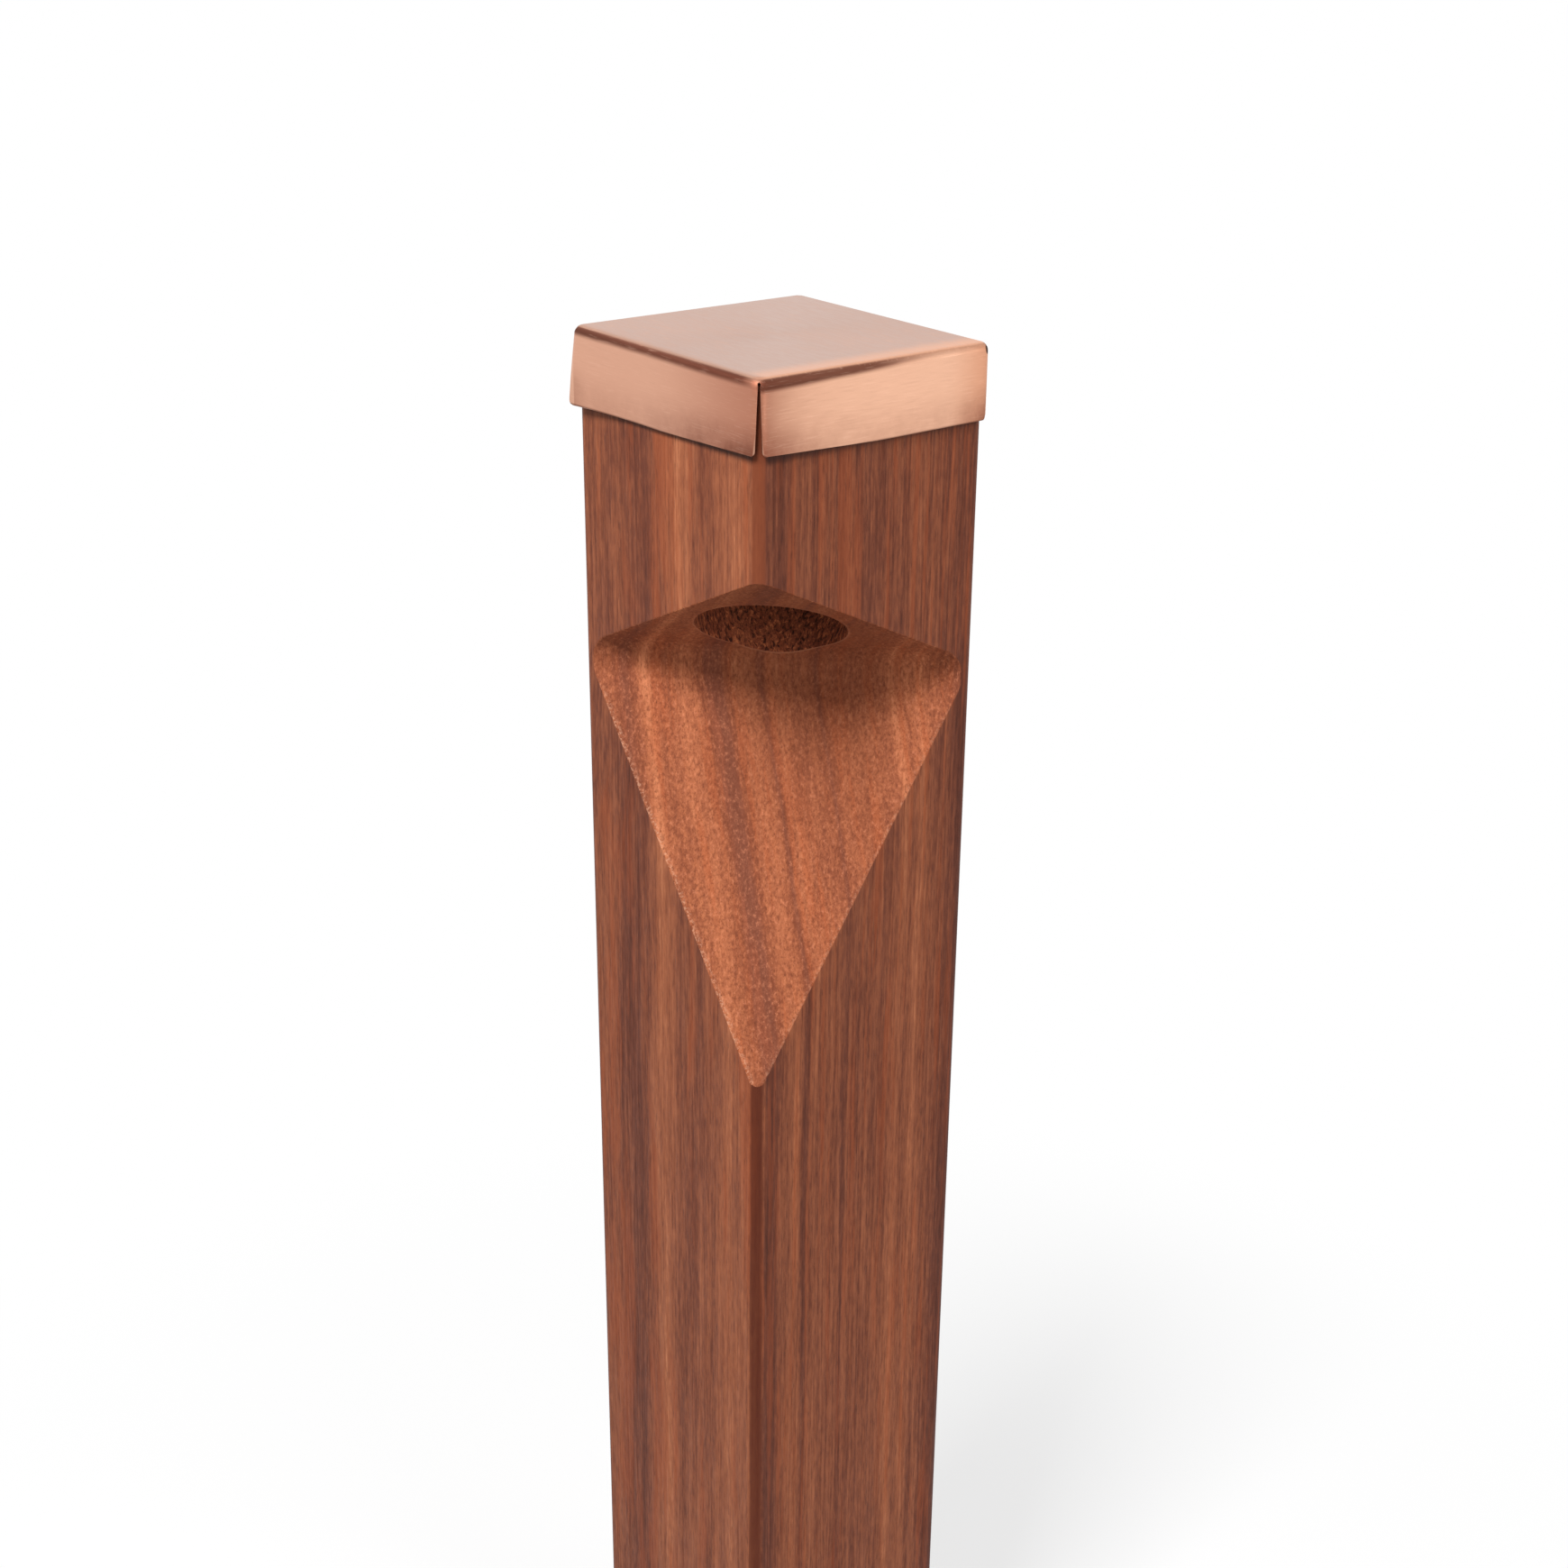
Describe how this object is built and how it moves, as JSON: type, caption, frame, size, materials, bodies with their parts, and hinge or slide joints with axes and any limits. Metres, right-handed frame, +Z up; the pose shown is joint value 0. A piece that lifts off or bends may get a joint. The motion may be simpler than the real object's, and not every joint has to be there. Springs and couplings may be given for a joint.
{
  "type": "pillar light",
  "caption": "Square timber garden pillar light with a folded copper cap, a V-shaped niche in its front edge and a sealed lamp recessed in the niche's sloping ceiling.",
  "frame": {"origin": "on the ground, under the middle of the base plate and of the post", "axes": "+Z up the post; the post's faces look along X and Y; the niche is cut into the arris between the +X and -Y faces"},
  "size_m": [0.12, 0.12, 0.6],
  "materials": {
    "hardwood": "planed and oiled reddish-brown hardwood, straight grain",
    "copper": "folded copper sheet, satin, with darker tarnish along the folds",
    "foam": "closed-cell foam strip",
    "galvanised_steel": "hot-dip galvanised",
    "pad_rubber": "matte",
    "stainless_steel": "plain",
    "grommet_rubber": "matte",
    "can_aluminium": "turned and dark anodised",
    "o_ring_rubber": "smooth",
    "ring_aluminium": "turned, satin anodised",
    "window_glass": "clear, polished",
    "gasket_silicone": "translucent white silicone",
    "reflector": "coated glass bowl",
    "lamp_glass": "clear",
    "capsule_glass": "quartz capsule",
    "lamp_ceramic": "unglazed",
    "pin_steel": "plain",
    "holder_ceramic": "unglazed steatite",
    "contact_brass": "plain",
    "core_insulation": "brown insulation",
    "bush_rubber": "matte",
    "lead_sheath": "black heat-resistant sheath",
    "block_plastic": "natural nylon"
  },
  "bodies": {
    "post": {"timber_post": "hardwood", "cap_seal": "foam", "base_plate": "galvanised_steel", "foot_pad": "pad_rubber", "base_screws": "stainless_steel", "cable_grommet": "grommet_rubber", "lamp_can": "can_aluminium", "can_o_rings": "o_ring_rubber", "lamp_holder": "holder_ceramic", "holder_contacts": "contact_brass", "holder_screws": "stainless_steel", "holder_leads": "core_insulation", "can_bush": "bush_rubber", "lamp_lead": "lead_sheath", "lead_cores": "core_insulation", "terminal_block": "block_plastic", "terminal_tubes": "contact_brass", "terminal_screws": "stainless_steel", "block_screw": "stainless_steel"},
    "cap": {"copper_cap": "copper"},
    "window": {"window_ring": "ring_aluminium", "window_glass": "window_glass", "window_gasket": "gasket_silicone"},
    "lamp": {"lamp_reflector": "reflector", "lamp_front_glass": "lamp_glass", "lamp_capsule": "capsule_glass", "lamp_base": "lamp_ceramic", "lamp_pins": "pin_steel"}
  },
  "joints": [
    {"name": "cap_lift", "type": "slide", "parent": "post", "child": "cap", "axis": [0, 0, 1], "range_m": [0, 0.06]},
    {"name": "window_out", "type": "slide", "parent": "post", "child": "window", "axis": [0.4056, -0.4056, -0.8192], "range_m": [0, 0.09]},
    {"name": "lamp_out", "type": "slide", "parent": "post", "child": "lamp", "axis": [0.4056, -0.4056, -0.8192], "range_m": [0, 0.063]}
  ],
  "couplings": [
    {"joint": "lamp_out", "follows": "window_out", "ratio": 0.7}
  ]
}
